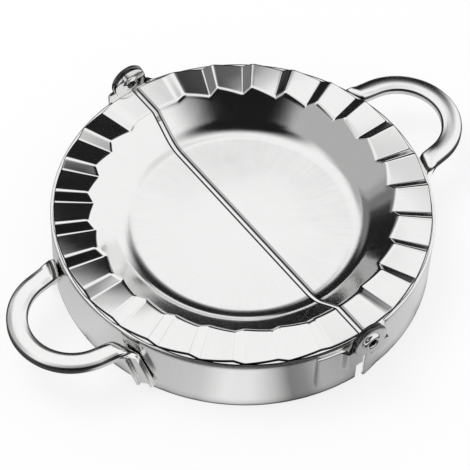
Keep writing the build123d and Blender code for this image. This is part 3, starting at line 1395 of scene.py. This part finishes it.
@dataclass(frozen=True)
class SkirtFinish(EyeFinish):
    """Steel of the skirts, with painted shadow at the foot and on the top edge at the left front.

    The fields that aren't listed here are those of SteelFinish.

    Args:
        stretch: Stretch of the streaks upwards.
        top: Height above which painted shadow darkens the top edge.
        top_inner: Radius within which it is dark.
        left: How far left of the seam it is dark in full.
        front: Places along Y between which it grows dark.
        foot: Height below which painted shadow darkens the foot.
    """

    name: str = "skirt_steel"
    slot: str = "skirt_steel"
    colour: float = 0.88
    roughness: float = 0.16
    haze: float = 0.05
    streak: float = 0.05
    streak_depth: float = 0.0005 * MM
    wave_depth: float = 0.02 * MM
    stretch: float = 1.5
    top: float = 16.35 * MM
    top_inner: float = 47.6 * MM
    left: float = -4 * MM
    front: tuple[float, float] = (-16 * MM, -32 * MM)
    foot: float = 0.45 * MM

    def grain(self, graph: Graph, spot: Spot) -> Field:
        """Streaks that run up the wall."""
        return graph.vector(spot.angle, spot.z * self.stretch, 0.0)

    def marks(self, graph: Graph, spot: Spot) -> list[tuple[float, Field]]:
        """Painted shadow on the foot and the top edge, then painted shade on the eye's cut edge.

        Args:
            graph: The material's graph.
            spot: The place that is being shaded.

        Returns:
            Grey level and share of each mark.
        """
        fade = self.fade
        # Painted shadow: under the rim's edge at the left front, and the contact shadow at the
        # foot
        top = graph.share(spot.z, self.top - fade, self.top)
        top = top * graph.share(spot.radius, self.top_inner + fade, self.top_inner)
        top = top * graph.share(spot.x, 0, self.left)
        top = top * graph.share(spot.y, *self.front, soft=True)
        foot = graph.share(spot.z, self.foot, self.foot - fade)
        dark = graph.math("MAXIMUM", top, foot)
        return [(self.cut_tone, dark), *super().marks(graph, spot)]


@dataclass(frozen=True)
class HandleFinish(SteelFinish):
    """Steel of the handles, with painted shade on the rolled shoulders.

    The fields that aren't listed here are those of SteelFinish.

    Args:
        shoulder: Heights between which the shoulders lie, darkened by painted shade.
    """

    name: str = "handle_steel"
    slot: str = "handle_steel"
    colour: float = 0.9
    roughness: float = 0.1
    haze: float = 0.06
    streak: float = 0.05
    shoulder: tuple[float, float] = (13.15 * MM, 13.75 * MM)

    def marks(self, graph: Graph, spot: Spot) -> list[tuple[float, Field]]:
        """Painted shade on the shoulders.

        Args:
            graph: The material's graph.
            spot: The place that is being shaded.

        Returns:
            Grey level and share of each mark.
        """
        low, high = self.shoulder
        painted_shoulder_shade = graph.share(spot.z, low, low + self.fade)
        return [(self.cut_tone, painted_shoulder_shade * graph.share(spot.z, high, high - self.fade))]


@dataclass(frozen=True)
class HingeFinish(EyeFinish):
    """Steel of the leaves and the rivets, with painted shade in each rivet head's well.

    The fields that aren't listed here are those of SteelFinish.

    Args:
        well: Distance from the hinge axis within which painted shade darkens the well.
    """

    name: str = "hinge_steel"
    slot: str = "hinge_steel"
    colour: float = 0.86
    roughness: float = 0.13
    haze: float = 0.05
    streak: float = 0.06
    cut_tone: float = 0.04
    eye: float = 4.47 * MM
    well: float = 1.35 * MM

    def marks(self, graph: Graph, spot: Spot) -> list[tuple[float, Field]]:
        """Painted shade on the eye's cut edge, then in the well."""
        well = graph.share(self.away(graph, spot), self.well, self.well - self.fade * 2)
        return [*super().marks(graph, spot), (self.cut_tone, well)]


# The pieces in their places
@dataclass(frozen=True)
class Piece:
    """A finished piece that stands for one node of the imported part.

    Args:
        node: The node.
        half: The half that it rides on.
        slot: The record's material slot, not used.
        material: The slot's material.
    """

    node: str
    half: Half
    slot: str
    material: bpy.types.Material

    def place(self, mesh: bpy.types.Mesh) -> None:
        """Turns the mesh to its half, dresses it and ties it to its body.

        Args:
            mesh: The piece's mesh, made where the right half's piece is.
        """
        mesh.transform(self.half.turn())
        mesh.materials.clear()
        mesh.materials.append(self.material)
        made = show(self.node + "_dressed", mesh)
        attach(made, self.half.value)
        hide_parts(self.node)
        log.info("%s: %d faces on %s", made.name, len(mesh.polygons), self.half.value)


class Press:
    """Both halves of the press, with the node that each piece stands for."""

    parts = {
        "tray": ("tray_steel", "right_press_tray", "left_press_tray"),
        "skirt": ("skirt_steel", "right_skirt", "left_skirt"),
        "handle": ("handle_steel", "right_handle", "left_handle"),
        "leaf": ("hinge_steel", "rear_hinge_leaf", "front_hinge_leaf"),
        "rivet": ("hinge_steel", "front_hinge_rivet", "rear_hinge_rivet"),
    }

    def __init__(self) -> None:
        """Makes the steels and the geometry trees."""
        effects = SharedEffects()
        finishes = (TrayFinish(), SkirtFinish(), HandleFinish(), HingeFinish())
        self.steel = {finish.slot: finish.material(effects) for finish in finishes}
        self.trees = {"tray": tray_tree(), "handle": strip_tree(), "rivet": turned_tree()}

    def build(self) -> None:
        """Builds the pieces of both halves and puts them in place."""
        hinge = Hinge()
        for number, half in enumerate(Half):
            shapes = (Tray(), Skirt(hinge), BailHandle(), Leaf(hinge), Rivet(hinge))
            for shape, (part, (slot, *nodes)) in zip(shapes, self.parts.items()):
                rule = (self.trees[part], self.steel[slot]) if part in self.trees else ()
                Piece(nodes[number], half, slot, self.steel[slot]).place(shape.mesh(*rule))


# The studio
def open_material(name: str) -> tuple[bpy.types.Material, Graph]:
    """Makes an empty material.

    Args:
        name: The material's name.

    Returns:
        The material and its graph.
    """
    made = bpy.data.materials.new(name)
    made.use_nodes = True
    made.node_tree.nodes.clear()
    return made, Graph(made.node_tree)


def end_material(graph: Graph, share: Field, under: Field, colour: object) -> None:
    """Ends a material that lays even light over another shader.

    Args:
        graph: The material's graph.
        share: Share of the light.
        under: The other shader.
        colour: The light's colour.
    """
    light = graph.out("ShaderNodeEmission", {"Color": colour})
    mixed = graph.out("ShaderNodeMixShader", {0: share, 1: under, 2: light})
    graph.node("ShaderNodeOutputMaterial", {"Surface": mixed})


def seen_directly(graph: Graph) -> Field:
    """Tells the rays that show a surface from those that only light others.

    Args:
        graph: The graph that gets the nodes.

    Returns:
        One for camera, glossy and transmission rays, and zero for the rest.
    """
    path = graph.node("ShaderNodeLightPath")
    rays = [graph.field(path, f"Is {kind} Ray") for kind in ("Camera", "Glossy", "Transmission")]
    return graph.math("MINIMUM", rays[0] + rays[1] + rays[2], 1)


def grid_faces(rows: int, columns: int) -> list[tuple[int, int, int, int]]:
    """The faces of a grid whose points are numbered row by row."""
    starts = [row * columns + column for row in range(rows - 1) for column in range(columns - 1)]
    return [(i, i + 1, i + columns + 1, i + columns) for i in starts]


def hide_from_all_but_steel(card: bpy.types.Object) -> None:
    """Leaves a card visible only to reflections.

    Args:
        card: The card.
    """
    card.visible_camera = False
    card.visible_diffuse = False
    card.visible_shadow = False
    card.visible_transmission = False


class CardShape(Enum):
    """Outline of a card beside the press."""

    SCREEN = "four sides, curved round the press"
    DISC = "round"


@dataclass(frozen=True)
class Card:
    """A grey card that stands beside the press and shows only in the steel.

    Args:
        name: The card's name.
        azimuth: Direction from the press, in degrees from +X towards +Y.
        elevation: Height of the card's middle above the horizon, in degrees.
        width: Angle that it covers sideways, in degrees.
        height: Angle that it covers upwards, in degrees.
        tone: Grey level of the card.
        soft: Angles over which its side edges and its top and bottom fade, in degrees.
        shape: Outline of the card.
        distance: Distance from the press.
        facets: Faces along each side.
    """

    name: str
    azimuth: float
    elevation: float
    width: float
    height: float
    tone: float
    soft: tuple[float, float] = (8.0, 8.0)
    shape: CardShape = CardShape.SCREEN
    distance: float = 0.6
    facets: int = 16

    def shown(self, graph: Graph, u: Field, v: Field) -> Field:
        """How much of the tone shows at a place on the card, fading towards its edges.

        Args:
            graph: The material's graph.
            u: Share of the way across.
            v: Share of the way up.

        Returns:
            The share.
        """
        side, top = self.soft
        if self.shape is CardShape.DISC:
            x, y = (u - 0.5) * self.width, (v - 0.5) * self.height
            inside = self.width / 2 - graph.math("SQRT", x * x + y * y)
            return graph.share(inside, 0, side, soft=True)
        across = graph.math("MINIMUM", u, 1 - u) * self.width
        upwards = graph.math("MINIMUM", v, 1 - v) * self.height
        return graph.share(across, 0, side, soft=True) * graph.share(upwards, 0, top, soft=True)

    def material(self) -> bpy.types.Material:
        """An even tone that fades out towards the card's edges.

        Returns:
            The material.
        """
        made, graph = open_material(self.name)
        u, v, _ = graph.split(graph.field(graph.node("ShaderNodeTexCoord"), "UV"))
        clear = graph.out("ShaderNodeBsdfTransparent")
        end_material(graph, self.shown(graph, u, v), clear, (self.tone, self.tone, self.tone, 1))
        return made

    def place(self, u: float, v: float) -> Vector:
        """The place of a point of the card.

        Args:
            u: Share of the way across.
            v: Share of the way up.

        Returns:
            The place.
        """
        turn, tilt = radians((u - 0.5) * self.width), radians((v - 0.5) * self.height)
        azimuth, elevation = radians(self.azimuth), radians(self.elevation)
        if self.shape is CardShape.SCREEN:
            azimuth, elevation = azimuth + turn, elevation + tilt
        level = cos(elevation)
        away = Vector((cos(azimuth) * level, sin(azimuth) * level, sin(elevation)))
        if self.shape is CardShape.DISC:
            side = Vector((-sin(azimuth), cos(azimuth), 0))
            away = away + side * tan(turn) + away.cross(side) * tan(tilt)
        return away * self.distance

    def build(self) -> None:
        """Builds the card beside the press."""
        mesh = bpy.data.meshes.new(self.name)
        shares = steps(0, 1, self.facets)
        places = [(u, v) for v in shares for u in shares]
        faces = grid_faces(len(shares), len(shares))
        mesh.from_pydata([self.place(u, v) for u, v in places], [], faces)
        layer = mesh.uv_layers.new(name="card")
        for loop, corner in zip(mesh.loops, layer.data):
            corner.uv = places[loop.vertex_index]
        mesh.materials.append(self.material())
        hide_from_all_but_steel(show(self.name, mesh))


@dataclass(frozen=True)
class FloorRing:
    """A graded grey ring on the floor round the press, which the skirt mirrors.

    Args:
        rows: Radius, shade and cover of each circle of its points, from the inside.
        level: Height above the floor.
        tones: Grey level at each angle, in degrees.
    """

    rows: tuple[tuple[float, float, float], ...] = (
        # The darker inner rows paint the press's contact shadow on the floor, seen only in the
        # skirt
        (47.75 * MM, 0.25, 1), (48.25 * MM, 0.75, 1), (49.5 * MM, 1, 1), (62 * MM, 1, 1),
        (67 * MM, 0.1, 1), (95 * MM, 0.1, 1), (115 * MM, 0.1, 0),
    )
    level: float = 0.15 * MM
    tones: tuple[tuple[float, float], ...] = (
        (-180, 0.68), (-165, 0.55), (-150, 0.59), (-140, 0.64), (-132, 0.9), (-124, 0.88),
        (-117, 0.62), (-111, 0.22), (-106, 0.27), (-101, 0.46), (-96, 0.44), (-90, 0.36),
        (-84, 0.45), (-76, 0.62), (-60, 0.66), (-50, 0.75), (-40, 0.66), (0, 0.62), (45, 0.44),
        (90, 0.6), (135, 0.5), (180, 0.68),
    )

    def build(self) -> None:
        """Builds the ring, with its tones as a colour attribute that fades outwards."""
        mesh = bpy.data.meshes.new("floor_ring")
        points, colours = [], []
        for radius, shade, cover in self.rows:
            for angle, tone in self.tones:
                turn = radians(angle)
                points.append((radius * cos(turn), radius * sin(turn), self.level))
                colours += [tone * shade, tone * shade, tone * shade, cover]
        mesh.from_pydata(points, [], grid_faces(len(self.rows), len(self.tones)))
        layer = mesh.color_attributes.new("tone", "FLOAT_COLOR", "POINT")
        layer.data.foreach_set("color", colours)
        mesh.materials.append(self.material())
        hide_from_all_but_steel(show("floor_ring", mesh))

    def material(self) -> bpy.types.Material:
        """The ring's tones, fading outwards.

        Returns:
            The material.
        """
        made, graph = open_material("floor_ring")
        tone = graph.node("ShaderNodeVertexColor", layer_name="tone")
        clear = graph.out("ShaderNodeBsdfTransparent")
        end_material(graph, graph.field(tone, "Alpha"), clear, graph.field(tone, "Color"))
        return made


@dataclass
class Studio:
    """The floor, the surroundings, the lamp and the camera.

    Args:
        fill: Light that the surroundings give to matt surfaces.
        floor_size: Half the floor's side.
        floor_tone: Grey level of the floor.
        floor_lift: Share of plain white that keeps the floor white in the picture.
        lamp_power: Power of the soft lamp, in watts.
        lamp_size: Side of the soft lamp.
        lamp_place: Where the lamp hangs.
        camera_distance: Distance from the camera to the press.
        camera_azimuth: Angle of the camera round Z, in degrees.
        camera_elevation: Angle of the camera above the floor, in degrees.
        camera_roll: Roll of the camera, in degrees.
        sensor: Width of the camera's sensor, in millimetres.
        lens: Focal length, in millimetres.
        shift: Shift of the picture across and up.
        clip: Distance from the camera at which the picture starts.
    """

    fill: float = 0.8
    floor_size: float = 3.0
    floor_tone: float = 0.95
    floor_lift: float = 0.75
    lamp_power: float = 3.0
    lamp_size: float = 0.6
    lamp_place: tuple[float, float, float] = (-0.25, 0.35, 0.9)
    camera_distance: float = 534.5 * MM
    camera_azimuth: float = -39.14
    camera_elevation: float = 52.74
    camera_roll: float = 3.07
    sensor: float = 36.0
    lens: float = 161.23
    shift: tuple[float, float] = (-0.0132, 0.0266)
    clip: float = 0.05

    cards = (
        Card("dark_screen", 70, 14, 98, 60, 0.015, soft=(12, 9)),
        Card("tall_screen", 44, 40, 36, 22, 0.15, soft=(9, 9), distance=0.62),
        Card("bright_gap", 45, 10, 27, 13, 0.9, soft=(6, 4), distance=0.55),
        Card("pale_screen", 24, 63, 60, 16, 0.78, soft=(20, 7), distance=0.66),
        Card("middle_screen", 97, 30, 42, 24, 0.2, soft=(12, 8), distance=0.57),
        Card("dark_front", -135, 20, 100, 44, 0.03, soft=(15, 8)),
        Card("shade_above_camera", -125, 71, 76, 76, 0.012, (20, 20), CardShape.DISC, 0.7),
        Card("soft_screen", 104, 48, 50, 28, 0.35, soft=(20, 16), distance=0.64),
        Card("grey_screen", 146, 42, 96, 56, 0.47, soft=(14, 14)),
    )

    def build(self) -> None:
        """Builds the studio, apart from the camera."""
        self.surroundings()
        self.floor()
        self.lamp()
        for card in self.cards:
            card.build()
        FloorRing().build()

    def surroundings(self) -> None:
        """White surroundings, a little dimmer as a light on matt surfaces."""
        world = bpy.data.worlds.new("studio")
        bpy.context.scene.world = world
        world.use_nodes = True
        graph = Graph(world.node_tree)
        background = world.node_tree.nodes["Background"]
        background.inputs["Color"].default_value = (1, 1, 1, 1)
        strength = self.fill + seen_directly(graph) * (1 - self.fill)
        graph.put(background.inputs["Strength"], strength)

    def floor(self) -> None:
        """A white floor that keeps the press's shadow."""
        mesh = bpy.data.meshes.new("floor")
        size = self.floor_size
        corners = [(-size, -size, 0), (size, -size, 0), (size, size, 0), (-size, size, 0)]
        mesh.from_pydata(corners, [], [(0, 1, 2, 3)])
        made, graph = open_material("floor")
        matt = graph.out("ShaderNodeBsdfDiffuse", {"Color": (self.floor_tone,) * 3 + (1,)})
        end_material(graph, seen_directly(graph) * self.floor_lift, matt, (1, 1, 1, 1))
        mesh.materials.append(made)
        show("floor", mesh)

    def lamp(self) -> None:
        """One large soft lamp above and behind the press."""
        data = bpy.data.lights.new("soft_lamp", "AREA")
        data.energy = self.lamp_power
        data.size = self.lamp_size
        lamp = bpy.data.objects.new("soft_lamp", data)
        lamp.location = self.lamp_place
        lamp.rotation_euler = Vector(self.lamp_place).to_track_quat("Z", "Y").to_euler()
        lamp.visible_glossy = False
        bpy.context.scene.collection.objects.link(lamp)

    def camera(self) -> None:
        """The camera, at the photograph's angle."""
        azimuth, elevation = radians(self.camera_azimuth), radians(self.camera_elevation)
        flat = cos(elevation)
        back = Vector((sin(azimuth) * flat, -cos(azimuth) * flat, sin(elevation)))
        level = Vector((cos(azimuth), sin(azimuth), 0))
        rise = back.cross(level)
        roll = radians(self.camera_roll)
        right = level * cos(roll) + rise * sin(roll)
        up = rise * cos(roll) - level * sin(roll)
        data = bpy.data.cameras.new("camera")
        data.sensor_width = self.sensor
        data.lens = self.lens
        data.shift_x, data.shift_y = self.shift
        data.clip_start = self.clip
        camera = bpy.data.objects.new("camera", data)
        turn = Matrix((right, up, back)).transposed().to_4x4()
        camera.matrix_world = Matrix.Translation(back * self.camera_distance) @ turn
        bpy.context.scene.collection.objects.link(camera)
        bpy.context.scene.camera = camera


def main() -> None:
    """Builds the press and its studio."""
    logging.basicConfig(level=logging.INFO, format="%(message)s")
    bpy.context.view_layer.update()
    bpy.context.scene.view_settings.view_transform = "Standard"
    studio = Studio()
    studio.camera()
    Press().build()
    studio.build()


if __name__ == "__main__":
    main()
